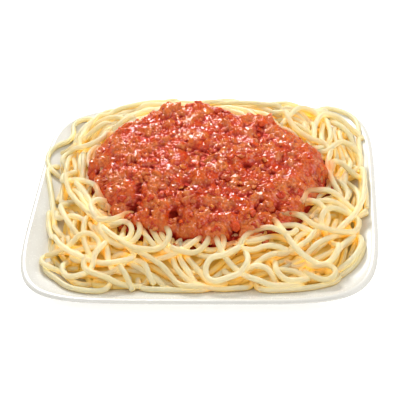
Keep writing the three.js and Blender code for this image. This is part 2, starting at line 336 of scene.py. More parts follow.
class Field:
    """A number at every point of a square grid over the plate, such as a height."""

    HALF = 96.0

    def __init__(self, cell, values=None):
        self.cell = cell
        side = int(2 * self.HALF / cell) + 1
        self.line = np.linspace(-self.HALF, self.HALF, side)
        self.x, self.y = np.meshgrid(self.line, self.line)
        self.values = np.zeros((side, side)) if values is None else values(self.x, self.y)

    def like(self, values):
        """Another field on the same grid."""
        other = Field.__new__(Field)
        other.__dict__.update(self.__dict__)
        other.values = values
        return other

    def at(self, x, y):
        """Values between the grid's points."""
        side = len(self.line)
        u = np.clip((np.asarray(x) + self.HALF) / self.cell, 0, side - 1.001)
        v = np.clip((np.asarray(y) + self.HALF) / self.cell, 0, side - 1.001)
        i, j = u.astype(int), v.astype(int)
        u, v = u - i, v - j
        near = self.values[j, i] * (1 - u) + self.values[j, i + 1] * u
        far = self.values[j + 1, i] * (1 - u) + self.values[j + 1, i + 1] * u
        return near * (1 - v) + far * v

    def raise_balls(self, points, radius):
        """Lifts the field over balls of one radius at the points."""
        reach = int(radius / self.cell) + 1
        steps = np.arange(-reach, reach + 1)
        x, y, z = (values[:, None, None] for values in points.T)
        column = np.rint((x + self.HALF) / self.cell).astype(int) + steps[None, None, :]
        row = np.rint((y + self.HALF) / self.cell).astype(int) + steps[None, :, None]
        side = len(self.line)
        column, row = np.broadcast_arrays(column, row)
        inside = (column >= 0) & (column < side) & (row >= 0) & (row < side)
        column, row = np.clip(column, 0, side - 1), np.clip(row, 0, side - 1)
        apart = (self.line[column] - x) ** 2 + (self.line[row] - y) ** 2
        inside &= apart < radius**2
        heights = z + np.sqrt(np.maximum(0, radius**2 - apart))
        np.maximum.at(self.values, (row[inside], column[inside]), heights[inside])

    def blurred(self, width):
        """The field with its detail under about this width smoothed away."""
        kernel = soft_kernel(width, self.cell)
        kernel /= kernel.sum()
        reach = len(kernel) // 2
        values = self.values
        for axis in (0, 1):
            padding = [(reach, reach) if n == axis else (0, 0) for n in (0, 1)]
            padded = np.pad(values, padding, mode="edge")
            values = sum(
                weight * np.take(padded, range(k, k + values.shape[axis]), axis=axis)
                for k, weight in enumerate(kernel)
            )
        return self.like(values)


# Strands

COURSE_STEP = 0.8  # between the points of a course

# How a strand lies on others
PILE_CELL = 0.4
PILE_DEPTH = 8.0  # strands lie this deep over the scene's own core
CORE_DEPTH = 4.5  # of the core under the sauce
CORE_EDGE = (0.62, 0.8)  # shares of the way out in the sauce between which the core sinks
STIFFNESS = 0.045  # a strand's tightest bend up or down, as the rise for a millimetre squared
BRIDGE = 12.0  # how far a strand feels what holds it up
BEND_WIDTH = 1.8  # bends up and down are smoothed over this width
LAY_WIDTH = 1.0  # and once more over this one when all is laid
DIP_LENGTH = 8.0  # the end of a strand sinks into the heap over this length
DIP_DEPTH = 5.0
HIDDEN_FALL = 3.6  # the hidden end of a marked strand sinks this deep
HIDDEN_REACH = 7.0
SETTLE_WIDTH = 3.0  # the pile is pressed together evenly over this width, to no less than a share
LEAST_SHARE = 0.4
EDGE_ROOM = 1.5  # over a strand that lies on the plate at the heap's edge
SPARE_ROOM = 1.0  # over the heap's top, until the pile is pressed together
SWELL_HEIGHT = 1.2  # of the heap's own swells
SWELL_WIDTH = 15.0

# How a marked strand goes on where the photo no longer shows it
AT_EDGE = 4.0  # where it faces out of the heap and its edge is this near, it simply ends
EXTRA_END = 11.0  # it runs on this far, inwards, to sink under others
EXTRA_TURN = 7.0  # the radius of that turn
UNDER_SAUCE = 14.0  # or this far to get under the sauce
WELL_COVERED = 0.84  # share of the way out in the sauce where a strand is hidden by it
MARKED_BAND = 1.5  # the crowd lies lower this many radii beside it
MARKED_ROOM = 0.8  # by this share of its thickness
MOST_ROOM = 1.4  # and by no more than this where several cross

# How the crowd's strands wander
LONGEST_STRAND = 150.0
TIGHTEST_TURN = 5.5
WANDER_WAVES = (24, 80)  # lengths of their waves
WANDER = 0.05  # how far they turn, for a millimetre
CURL_BACK = 0.6  # times that at the back of the heap
CURL_FRONT = 1.5
LOOK_AHEAD = 5.0  # to see the heap's edge
TURN_BACK = (0.95, 1.04)  # shares of the way out in the heap where they turn back
COVERED = 0.76  # share of the way out in the sauce where they end under it
SIDE_GAP = 0.15  # between strands that lie side by side
SIDE_SWAY = 0.7
FARTHEST = 1.03  # share of the way out in the heap that no side strand passes

# How the crowd fills the heap
CROWD_SEED = 4
CROWD_LIMIT = 600
CROWD_TRIES = 36  # strands that are tried for each one that is laid
CROWD_SPOTS = 216  # the deepest of so many places are tried
CROWD_MISSES = 24
CROWD_EDGE = 0.985  # share of the way out in the heap where its strands may still start
CROWD_COVER = 0.82  # and share of the way out in the sauce from which they start
PAIRED = 0.5  # chance of a strand beside another
# Its layers: how high, the shortest strand, and the least room that one fills
CROWD_LAYERS = [(0.42, 9, 6), (0.72, 12, 9), (1.0, 16, 10)]
MOST_GAIN = 4.0  # room over or under the target counts up to this depth
LEAST_GAIN = 0.2
OVERSHOOT = 0.8
END_COST = 25.0  # room that is given up sooner than that a strand ends near the edge
END_SHOWS = (0.8, 0.9)  # shares of the way out in the heap between which an end begins to show
OFF_COURSE = -50.0  # counts for a point past the end of a course


def marked_course(start, heading, bends):
    """The course of a strand that is written down, seen from above."""
    points = [np.array(start, float)]
    angle = math.radians(heading)
    for bend, turn in bends:
        steps = max(1, round(bend / COURSE_STEP))
        for _ in range(steps):
            angle += math.radians(turn) / steps
            points.append(points[-1] + bend / steps * np.array([math.cos(angle), math.sin(angle)]))
    return np.array(points)


def carried_on(course):
    """Carries the last end of a course on: under the sauce near by, or else inwards under other strands."""
    along = unit(course[-1] - course[-3])
    onward = course[-1] + np.outer(np.arange(1, UNDER_SAUCE / COURSE_STEP) * COURSE_STEP, along)
    covered = np.nonzero(sauce_share(*onward.T) < WELL_COVERED)[0]
    if len(covered):
        return np.concatenate([course, onward[: covered[0] + 1]])
    outwards = unit(course[-1] - HEAP_PEAK)
    if heap_edge(*(course[-1] + AT_EDGE * along)) > 0.97 and along @ outwards > 0.35:
        return course
    points = list(course)
    heading = math.atan2(along[1], along[0])
    for _ in range(int(EXTRA_END / COURSE_STEP)):
        inwards = math.atan2(*(HEAP_PEAK - points[-1])[::-1])
        turn = (inwards - heading + math.pi) % (2 * math.pi) - math.pi
        heading += math.copysign(min(abs(turn), COURSE_STEP / EXTRA_TURN), turn)
        points.append(points[-1] + COURSE_STEP * np.array([math.cos(heading), math.sin(heading)]))
    return np.array(points)


def wandering_courses(draw, start, curl):
    """Courses that wander over the heap, turn back at its edge and end under the sauce."""
    count = len(start)
    steps = int(LONGEST_STRAND / COURSE_STEP)
    heading = draw.uniform(0, 2 * math.pi, count)
    waves = draw.uniform(*WANDER_WAVES, (3, count))
    phases = draw.uniform(0, 2 * math.pi, (3, count))
    sizes = draw.normal(0, WANDER, (3, count)) * curl
    limit = draw.uniform(*TURN_BACK, count)
    place = start.copy()
    courses = np.zeros((steps, count, 2))
    lengths = np.full(count, steps)
    for k in range(steps):
        courses[k] = place
        along = np.stack([np.cos(heading), np.sin(heading)], 1)
        ahead = place + LOOK_AHEAD * along
        out = ahead - HEAP_MIDDLE
        out = np.sign(out) * np.abs(out / HEAP_HALF) ** (HEAP_POWER - 1)
        out /= np.linalg.norm(out, axis=1)[:, None] + 1e-9
        at_edge = smooth_step(heap_edge(*ahead.T), limit - 0.04, limit + 0.03)
        side = np.where(along[:, 0] * out[:, 1] - along[:, 1] * out[:, 0] > 0, -1.0, 1.0)
        facing = smooth_step((along * out).sum(1), -0.3, 0.3)
        wander = (sizes * np.sin(2 * math.pi * k * COURSE_STEP / waves + phases)).sum(0)
        turn = wander * (1 - 0.85 * at_edge) + side * facing * at_edge / TIGHTEST_TURN
        heading = heading + np.clip(turn, -1 / TIGHTEST_TURN, 1 / TIGHTEST_TURN) * COURSE_STEP
        place = place + COURSE_STEP * along
        gone = (sauce_share(*place.T) < COVERED) | (heap_edge(*place.T) > 1.05)
        lengths = np.where(gone & (lengths == steps), k + 1, lengths)
    longest = (draw.uniform(0.35, 1, count) * LONGEST_STRAND / COURSE_STEP).astype(int)
    return courses, np.minimum(lengths, longest)


def beside(course, apart):
    """A course that runs beside another one."""
    along = np.gradient(course, axis=0)
    along /= np.linalg.norm(along, axis=1)[:, None] + 1e-9
    return course + np.stack([-along[:, 1], along[:, 0]], 1) * apart[:, None]


def evened(points, step):
    """The same course with its points evenly a step apart."""
    gaps = np.linalg.norm(np.diff(points, axis=0), axis=1)
    along = np.concatenate([[0], np.cumsum(gaps)])
    places = np.linspace(0, along[-1], max(3, round(along[-1] / step) + 1))
    return np.stack([np.interp(places, along, values) for values in points.T], 1)


def softened(values, width):
    """Values along a strand, with bends shorter than the width smoothed away."""
    kernel = soft_kernel(width, COURSE_STEP)
    middle = len(kernel) // 2
    reach = min(middle, len(values) - 1)
    padded = np.pad(values, reach, mode="reflect", reflect_type="odd")
    kernel = kernel[middle - reach : middle + reach + 1]
    return np.convolve(padded, kernel / kernel.sum(), mode="valid")


def stiff(low):
    """Heights of stiff strands that rest on these lowest heights and bridge their dips."""
    reach = int(BRIDGE / COURSE_STEP)
    sides = [(reach, reach)] + [(0, 0)] * (low.ndim - 1)
    padded = np.pad(low, sides, mode="edge")
    shifts = range(2 * reach + 1)
    falls = [STIFFNESS * ((k - reach) * COURSE_STEP) ** 2 for k in shifts]
    return np.max([padded[k : k + len(low)] - fall for k, fall in zip(shifts, falls)], axis=0)


class Pile:
    """Strands laid one on another without running through each other."""

    def __init__(self, radius):
        self.radius = radius
        self.floor = Field(PILE_CELL, pile_floor)
        self.tops = self.floor.like(self.floor.values.copy())
        self.lowest = self.floor.like(self.floor.values + 1.05 * radius)
        self.middles = self.floor.like(self.lowest.values.copy())
        self.strands = []

    def lay(self, course, hidden=(0, 0)):
        """Lowers a course onto what is there; so many points at each end sink among the others."""
        first, last = hidden
        seen = course[first : len(course) - last]
        low = self.middles.at(*seen.T)
        apart = np.linalg.norm(seen[:, None] - seen[None, :], axis=2)
        order = np.arange(len(seen))
        own = (apart < 2 * self.radius) & (order[:, None] - order[None, :] > 4 * self.radius / COURSE_STEP)
        later, earlier = np.nonzero(own)
        rise = np.sqrt(4 * self.radius**2 - apart[later, earlier] ** 2)
        z = softened(stiff(low), BEND_WIDTH)
        for _ in range(3 if len(later) else 0):
            np.maximum.at(low, later, z[earlier] + rise)
            z = softened(stiff(low), BEND_WIDTH)
        z = np.concatenate([np.full(first, z[0]), z, np.full(last, z[-1])])
        order = np.arange(len(course))
        dip = np.zeros(len(course))
        for count, distance in ((first, order), (last, order[::-1])):
            if count:
                fall = HIDDEN_FALL * smooth_step((count - distance) * COURSE_STEP, 0, HIDDEN_REACH)
            else:
                fall = DIP_DEPTH * (1 - smooth_step(distance * COURSE_STEP, 0, DIP_LENGTH))
            dip = np.maximum(dip, fall)
        z = np.maximum(self.lowest.at(*course.T), z - dip)
        points = np.column_stack([course, softened(z, LAY_WIDTH)])
        seen = points[first : len(points) - last]
        self.middles.raise_balls(seen, 2 * self.radius)
        self.tops.raise_balls(seen, self.radius)
        self.strands.append(points)

    def settle(self, wanted):
        """Presses the pile together where it stands higher than the wanted field."""
        low, high = self.lowest, self.middles.blurred(SETTLE_WIDTH)
        room = np.maximum(wanted.values - self.radius - low.values, 1)
        taken = np.maximum(high.values - 2 * self.radius - low.values, 1)
        share = self.floor.like(np.clip(room / taken, LEAST_SHARE, 1))
        share = share.blurred(SETTLE_WIDTH)
        self.tops.values = self.floor.values.copy()
        for points in self.strands:
            bottom = low.at(points[:, 0], points[:, 1])
            above = np.maximum(points[:, 2] - bottom, 0)
            pressed = bottom + above * share.at(points[:, 0], points[:, 1])
            points[:, 2] = softened(pressed, LAY_WIDTH)
            self.tops.raise_balls(points, self.radius)

    def best_stretch(self, courses, lengths, target):
        """Which course fills most room under the target, and between which of its points."""
        courses = courses[: lengths.max()]
        z = stiff(self.middles.at(courses[..., 0], courses[..., 1]))
        depth = target.at(courses[..., 0], courses[..., 1]) - self.radius - z
        over = np.clip(-depth, 0, MOST_GAIN)
        gain = np.clip(depth, -MOST_GAIN, MOST_GAIN) - OVERSHOOT * over - LEAST_GAIN
        order = np.arange(len(courses))[:, None]
        gain = np.where(order < lengths[None, :], gain, OFF_COURSE)
        total = np.vstack([np.zeros(gain.shape[1]), np.cumsum(gain, axis=0)])
        shows = END_COST * smooth_step(heap_edge(courses[..., 0], courses[..., 1]), *END_SHOWS)
        shows = np.vstack([shows, shows[-1:]])
        begun = total + shows
        rise = total - shows - np.minimum.accumulate(begun, axis=0)
        last = np.argmax(rise, axis=0)
        which = int(np.argmax(rise[last, np.arange(len(last))]))
        end = last[which]
        start = int(np.argmin(begun[: end + 1, which]))
        return rise[end, which] * COURSE_STEP, courses[start:end, which]


def pile_floor(x, y):
    """What the lowest strands lie on."""
    return np.maximum(plate_top(x, y) + 0.05, core_top(x, y))


def core_top(x, y):
    """The scene's own core, which lies deep under the strands and higher under the sauce."""
    depth = CORE_DEPTH + (PILE_DEPTH - CORE_DEPTH) * smooth_step(sauce_share(x, y), *CORE_EDGE)
    return heap_top(x, y) - depth


def lay_crowd(draw, pile, target, shortest, least):
    """Lays strands wherever there is room under the target, until few places are left."""
    x, y = pile.floor.x, pile.floor.y
    open_ground = (heap_edge(x, y) < CROWD_EDGE) & (sauce_share(x, y) > CROWD_COVER)
    rows, columns = np.nonzero(open_ground)
    misses = 0
    while len(pile.strands) < CROWD_LIMIT and misses < CROWD_MISSES:
        picked = draw.integers(0, len(rows), CROWD_SPOTS)
        wanted = (target.values - pile.middles.values)[rows[picked], columns[picked]]
        picked = picked[np.argsort(-wanted)[:CROWD_TRIES]]
        start = np.column_stack([pile.floor.line[columns[picked]], pile.floor.line[rows[picked]]])
        forward = smooth_step(-start[:, 1] - 0.4 * start[:, 0], -20, 50)
        curl = CURL_BACK + (CURL_FRONT - CURL_BACK) * forward
        courses, lengths = wandering_courses(draw, start, curl)
        gain, course = pile.best_stretch(courses, lengths, target)
        if len(course) * COURSE_STEP < shortest or gain < least:
            misses += 1
            continue
        misses = 0
        pile.lay(evened(course, COURSE_STEP))
        for side in (1, -1):
            if draw.random() < PAIRED:
                sway = SIDE_SWAY * np.abs(np.sin(np.linspace(0, 5, len(course)) + draw.uniform(0, 6)))
                apart = 2 * pile.radius + SIDE_GAP + sway
                neighbour = evened(beside(course, side * apart), COURSE_STEP)
                if heap_edge(*neighbour.T).max() < FARTHEST:
                    lengths = np.array([len(neighbour)])
                    _, stretch = pile.best_stretch(neighbour[:, None], lengths, target)
                    if len(stretch) * COURSE_STEP > shortest:
                        pile.lay(stretch)


@functools.lru_cache(maxsize=1)
def pile_up(radius):
    """The whole heap of strands, the same on every run."""
    draw = np.random.default_rng(CROWD_SEED)
    pile = Pile(radius)
    floor = pile.floor
    marked = [evened(marked_course(*strand), COURSE_STEP) for strand in LOWER_STRANDS + UPPER_STRANDS]
    cover = floor.like(np.zeros_like(floor.values))
    for course in marked:
        band = floor.like(np.zeros_like(floor.values))
        band.raise_balls(np.column_stack([course, np.zeros(len(course))]), MARKED_BAND * radius)
        cover.values += band.values > 0
    lowered = 2 * radius * np.clip(MARKED_ROOM * cover.blurred(3).values, 0, MOST_ROOM)
    edge_top = plate_top(floor.x, floor.y) + 2 * radius + EDGE_ROOM
    top = np.maximum(heap_top(floor.x, floor.y) + SPARE_ROOM, edge_top)
    top += SWELL_HEIGHT * bumps(floor.x / SWELL_WIDTH + 3, floor.y / SWELL_WIDTH) - lowered
    for level, shortest, least in CROWD_LAYERS:
        target = floor.like(floor.values + level * (top - floor.values))
        lay_crowd(draw, pile, target, shortest, least)
    for course in marked:
        longer = carried_on(course)
        last = len(longer) - len(course)
        whole = carried_on(longer[::-1])[::-1]
        pile.lay(whole, (len(whole) - len(longer), last))
    pile.settle(floor.like(np.maximum(heap_top(floor.x, floor.y), edge_top)))
    return pile


# Meshes

END_ROUNDING = 0.35  # of a strand's cut end
END_CENTRE = 0.02  # the radius at which a cut end's face is closed
STAIN_EDGE = (0.97, 1.06)  # shares of the way out in the sauce between which its stain fades
FULL_DEPTH = 6.0  # this deep in the heap a strand is painted wholly in the amber shade
TOPS_WIDTH = 2.2  # the heap's tops are smoothed over this width to tell how deep a strand lies
THICKNESS_SPREAD = (0.95, 1.04)  # of the strands, as shares of their width
STAIN_WAVE = 4.0  # the stain's edge is uneven over this width
STAIN_SWAY = 0.03  # and by this share of the way out
UNDERSIDE_RINGS = (1.0, 0.97, 0.9, 0.7, 0.4, 0.02)  # shares of the way out, on a mound's underside


def new_piece(name, points, faces, slot, replaced, **numbers):
    """A piece from arrays in millimetres, with its attributes, riding on the part's body."""
    mesh = bpy.data.meshes.new(name)
    sizes = np.full(len(faces), faces.shape[1])
    mesh.vertices.add(len(points))
    mesh.vertices.foreach_set("co", (points * MM).astype(np.float32).ravel())
    mesh.loops.add(faces.size)
    mesh.loops.foreach_set("vertex_index", faces.astype(np.int32).ravel())
    mesh.polygons.add(len(faces))
    mesh.polygons.foreach_set("loop_start", (np.cumsum(sizes) - sizes).astype(np.int32))
    mesh.polygons.foreach_set("loop_total", sizes.astype(np.int32))
    mesh.polygons.foreach_set("use_smooth", np.ones(len(faces), bool))
    for key, values in numbers.items():
        mesh.attributes.new(key, "FLOAT", "POINT").data.foreach_set("value", values.astype(np.float32))
    mesh.update(calc_edges=True)
    mesh.validate()
    piece = bpy.data.objects.new(name, mesh)
    bpy.context.scene.collection.objects.link(piece)
    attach(piece, BODY)
    if replaced:
        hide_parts(replaced)
    return piece


def strand_skin(points, radius, sides, step):
    """Points and quads of one round strand with softened ends."""
    middle = evened(points, step)
    along = unit(np.gradient(middle, axis=0))
    side = unit(np.cross(along, (0.0, 0.0, 1.0)))
    up = np.cross(side, along)
    first, last = middle[0] - END_ROUNDING * along[0], middle[-1] + END_ROUNDING * along[-1]
    middle = np.concatenate([[first] * 2, middle, [last] * 2])
    side = np.concatenate([[side[0]] * 2, side, [side[-1]] * 2])
    up = np.concatenate([[up[0]] * 2, up, [up[-1]] * 2])
    widths = np.full(len(middle), radius)
    widths[[0, -1]] = END_CENTRE
    widths[[1, -2]] = radius - 0.8 * END_ROUNDING
    angles = np.arange(sides) * 2 * math.pi / sides
    ring = np.cos(angles)[None, :, None] * side[:, None] + np.sin(angles)[None, :, None] * up[:, None]
    skin = (middle[:, None] + widths[:, None, None] * ring).reshape(-1, 3)
    rings = len(middle)
    here = np.arange(rings - 1)[:, None] * sides + np.arange(sides)[None, :]
    next_side = np.arange(rings - 1)[:, None] * sides + (np.arange(sides)[None, :] + 1) % sides
    quads = np.stack([here, here + sides, next_side + sides, next_side], 2).reshape(-1, 4)
    return skin, quads


def strands_piece(name, pile, strands, sides, step, replaced, draw):
    """One piece from many strands, with each one's tone, and how deep and how stained it is."""
    smooth_tops = pile.tops.blurred(TOPS_WIDTH)
    skins, quads, tones = [], [], []
    count = 0
    for points in strands:
        radius = pile.radius * draw.uniform(*THICKNESS_SPREAD)
        skin, faces = strand_skin(points, radius, sides, step)
        skins.append(skin)
        quads.append(faces + count)
        tones.append(np.full(len(skin), draw.uniform(-1, 1)))
        count += len(skin)
    skin = np.concatenate(skins)
    depth = np.clip((smooth_tops.at(skin[:, 0], skin[:, 1]) - skin[:, 2]) / FULL_DEPTH, 0, 1)
    share_out = sauce_share(skin[:, 0], skin[:, 1])
    share_out += STAIN_SWAY * bumps(skin[:, 0] / STAIN_WAVE, skin[:, 1] / STAIN_WAVE)
    stain = 1 - smooth_step(share_out, *STAIN_EDGE)
    return new_piece(
        name,
        skin,
        np.concatenate(quads),
        "cooked_pasta",
        replaced,
        depth=depth,
        stain=stain,
        tone=np.concatenate(tones),
    )


def disc_grid(side):
    """A square grid bent into a round disc: each point's share of the way out and angle, and the quads."""
    line = np.linspace(-1, 1, side)
    x, y = np.meshgrid(line, line)
    x, y = x.ravel(), y.ravel()
    wide = np.abs(x) > np.abs(y)
    safe_x = np.where(x == 0, 1, x)
    safe_y = np.where(y == 0, 1, y)
    out = np.where(wide, x, y)
    angle = np.where(wide, math.pi / 4 * y / safe_x, math.pi / 2 - math.pi / 4 * x / safe_y)
    angle = np.where(out < 0, angle + math.pi, angle)
    index = np.arange(side * side).reshape(side, side)
    quads = np.stack([index[:-1, :-1], index[:-1, 1:], index[1:, 1:], index[1:, :-1]], 2).reshape(-1, 4)
    rim = np.concatenate([index[0, :-1], index[:-1, -1], index[-1, :0:-1], index[:0:-1, 0]])
    return np.abs(out), angle, quads, rim


def closed_mound(side, middle, reach, top, bottom):
    """A mound with a fine top and a plain underside: points and quads."""
    out, angle, quads, rim = disc_grid(side)

    def at(shares, angles):
        distance = shares * reach(angles)
        return middle[0] + distance * np.cos(angles), middle[1] + distance * np.sin(angles)

    x, y = at(out, angle)
    points = [np.column_stack([x, y, top(x, y)])]
    faces = [quads]
    upper = rim
    count = len(x)
    for level in UNDERSIDE_RINGS:
        x, y = at(np.full(len(rim), level), angle[rim])
        points.append(np.column_stack([x, y, bottom(x, y)]))
        lower = count + np.arange(len(rim))
        count += len(rim)
        faces.append(np.stack([upper, lower, np.roll(lower, -1), np.roll(upper, -1)], 1))
        upper = lower
    return np.concatenate(points), np.concatenate(faces)


# Sauce

RELIEF_CELL = 0.25
EDGE_DEPTH = 3.5  # the sauce's edge sinks this deep among the strands
EDGE_THICKNESS = 2.2  # of the sauce over the strands beside its edge
EDGE_WIDTH = 0.08  # share of the way out over which the edge rounds down
BED_WIDTH = 2.2  # strands under the sauce are smoothed over this width
BED_DEPTH = 0.8  # and nowhere lie deeper than this under the heap's top, or this far more at the edge
BED_FALL = 3.0
THINNING = (0.75, 1.0)  # shares of the way out between which the sauce grows thinner
# Waves of the sauce's outline, coarse to fine: how wide, how far as a share of the way out, and a start
OUTLINE_WAVES = [(5.0, 0.022, 0), (2.4, 0.014, 7)]
STEEPNESS = 0.8  # on a slope the crumbs' pattern is spread out by this share of the fall
# How far from its average a point of the skin lies where it is wholly a pit or a hollow, in millimetres
FULL_PIT = 0.8
FULL_HOLLOW = 1.2
# Crumbs in the sauce, coarse to fine: how wide, how high
CRUMBS = [(4.4, 1.6), (2.7, 1.1), (1.6, 0.7), (1.0, 0.35)]
# What the crumbs are: between which chances, and in which of those sizes
KINDS = [("tomato", 0.0, 0.3, (0, 1)), ("meat", 0.42, 0.86, (0, 1, 2, 3)), ("vegetable", 0.94, 1.0, (1,))]
STANDING = (0.3, 0.95)  # chances between which crumbs stand out more and more
COLOURED = 0.4  # the chance from which they have a colour of their own
DOME_EDGE = 0.3  # it reaches out to this share of a crumb's height
RUNNY_FLATNESS = 0.75  # crumbs are so much flatter where the sauce is runny
# The sauce's wrinkles, coarse to fine: how wide, how high
WRINKLES = [(4.2, 0.5), (2.2, 0.4), (1.2, 0.22)]
# What bends the pattern of the crumbs, coarse to fine: how wide, how far
BENDS = [(4.0, 1.3), (1.8, 0.6), (0.8, 0.2)]


def chance(i, j, turn):
    """A number from 0 to 1 for each place of a grid, the same on every run."""
    wave = np.sin(i * 127.1 + j * 311.7 + turn * 74.7) * 43758.5453
    return wave - np.floor(wave)


def crumbs(x, y, turn):
    """Uneven crumbs about one unit wide: 0 between them, 1 in their middles, and each one's two chances."""
    i, j = np.floor(x), np.floor(y)
    nearest, second = np.full(x.shape, 9.0), np.full(x.shape, 9.0)
    first_chance, second_chance = np.zeros(x.shape), np.zeros(x.shape)
    for across in (-1, 0, 1):
        for along in (-1, 0, 1):
            here, there = i + across, j + along
            middle_x = here + 0.5 + 0.8 * (chance(here, there, turn) - 0.5)
            middle_y = there + 0.5 + 0.8 * (chance(here, there, turn + 1) - 0.5)
            apart = np.hypot(x - middle_x, y - middle_y)
            closer = apart < nearest
            second = np.where(closer, nearest, np.minimum(second, apart))
            nearest = np.where(closer, apart, nearest)
            first_chance = np.where(closer, chance(here, there, turn + 2), first_chance)
            second_chance = np.where(closer, chance(here, there, turn + 3), second_chance)
    dome = np.clip((second - nearest) / 0.75, 0, 1) ** 0.75
    return dome, first_chance, second_chance


def sauce_rolls(x, y):
    """Rolls of the sauce, higher at the front, with its own swells and hollows."""
    sway_x, sway_y = x + 2.2 * bumps(x / 4 + 11, y / 4), y + 2.2 * bumps(x / 4 + 23, y / 4)
    front = smooth_step(-y, 22, 42)
    rolls = 1.2 * bumps(x / 13, y / 13) + (1.3 + 1.2 * front) * bumps(sway_x / 6 + 9, sway_y / 6)
    for place_x, place_y, width, height in SWELLS:
        rolls += height * np.exp(-((x - place_x) ** 2 + (y - place_y) ** 2) / width**2)
    return rolls


def sauce_base(field, pile, thickness):
    """The sauce's smooth height, how far out each point lies in it, and how its edge falls from 1 to 0."""
    x, y = field.x, field.y
    share_out = sauce_share(x, y)
    buried = heap_top(x, y) - BED_DEPTH - BED_FALL * smooth_step(share_out, 0.8, 1.0)
    bed = field.like(np.maximum(pile.tops.at(x, y), buried)).blurred(BED_WIDTH).values
    for width, far, start in OUTLINE_WAVES:
        share_out = share_out + far * bumps(x / width + start, y / width)
    inner = 1 - smooth_step(share_out, *THINNING)
    rounding = np.clip((share_out - 1) / EDGE_WIDTH + 1, 0, 1)
    edge = np.sqrt(1 - rounding**2)
    rolls = sauce_rolls(x, y) * (0.6 + 0.4 * inner)
    over = EDGE_DEPTH + EDGE_THICKNESS + (thickness - EDGE_THICKNESS) * inner + rolls
    return bed - EDGE_DEPTH + over * edge, share_out, edge


def bent(x, y, start):
    """How far the pattern of the crumbs is pushed aside, uneven at every scale."""
    return sum(far * bumps(x / wide + start, y / wide + start) for wide, far in BENDS)


@functools.lru_cache(maxsize=1)
def sauce_relief(radius, thickness):
    """Fields over the plate: the sauce's smooth height, its detail, and what lies on top at each point."""
    field = Field(RELIEF_CELL)
    x, y = field.x, field.y
    height, share_out, edge = sauce_base(field, pile_up(radius), thickness)
    drop = STEEPNESS * (height.max() - height) * smooth_step(share_out, 0.35, 0.75)
    away = np.arctan2(y - SAUCE_MIDDLE[1], x - SAUCE_MIDDLE[0])
    bent_x = x + drop * np.cos(away) + bent(x, y, 11)
    bent_y = y + drop * np.sin(away) + bent(x, y, 23)
    runny = smooth_step(bumps(x / 8 + 31, y / 8) + 0.5 * bumps(x / 3 + 31, y / 3), 0.1, 0.7)
    layers = {name: np.zeros_like(height) for name, *_ in KINDS}
    tone = np.zeros_like(height)
    detail = np.full_like(height, -0.5)
    for turn, (width, rise) in enumerate(CRUMBS):
        dome, kind, shade = crumbs(bent_x / width, bent_y / width, 10 * turn)
        standing = kind * 7.3 % 1
        detail += rise * dome * smooth_step(standing, *STANDING) * (1 - RUNNY_FLATNESS * runny)
        for name, low, high, turns in KINDS:
            if turn in turns:
                here = (kind >= low) & (kind < high) & (dome > DOME_EDGE) & (standing > COLOURED)
                if name == "meat":
                    here &= runny < 0.6
                for other, values in layers.items():
                    layers[other] = np.where(here, float(other == name), values)
        tone = np.where(dome > 0.35, 0.5 * tone + 2 * shade - 1, tone)
    for width, rise in WRINKLES:
        detail += rise * (0.5 - np.abs(bumps(bent_x / width, bent_y / width + 3 * width)))
    detail = field.like(detail * (0.25 + 0.75 * edge)).blurred(0.17)
    whole = field.like(height + detail.values)
    smooth, smoother = whole.blurred(1.2).values, whole.blurred(4.0).values
    relief = {name: field.like(values).blurred(0.2) for name, values in layers.items()}
    relief["tone"] = field.like(np.clip(tone, -1, 1))
    relief["pit"] = field.like(np.clip((smooth - whole.values) / FULL_PIT, -1, 1))
    relief["hollow"] = field.like(np.clip((smoother - smooth) / FULL_HOLLOW, -1, 1))
    relief["detail"] = detail
    relief["height"] = field.like(height)
    return relief


# Lumps that stand out of the sauce: a seed, how many, half width from and to, and how squat they are
LUMPS = {
    "mince_crumbs": (21, 90, 1.0, 2.2, 0.75),
    "tomato_pieces": (22, 60, 1.3, 2.6, 0.6),
    "vegetable_bits": (23, 16, 1.3, 2.2, 0.5),
}
LUMP_ROUNDNESS = 3  # subdivisions of a lump's ball
LUMP_CUTS = 9  # faces that a lump is cut with
# The waves over a lump: how many to its half width, how deep as a share of it
LUMP_WAVES = [(2.5, 0.16), (5.0, 0.18), (9.0, 0.16)]
LUMP_EDGE = 0.97  # share of the way out in the sauce where the last lumps lie
LUMP_STRETCH = (0.75, 1.15)  # of a lump along each of its sides
LUMP_SUNK = (0.1, 0.7)  # how deep a lump's middle lies, as a share of its height
SLOPE_REACH = 1.5  # half the distance over which a lump feels the sauce's slope
MARKED_SUNK = 0.3  # marked lumps sink this share as deep as the others
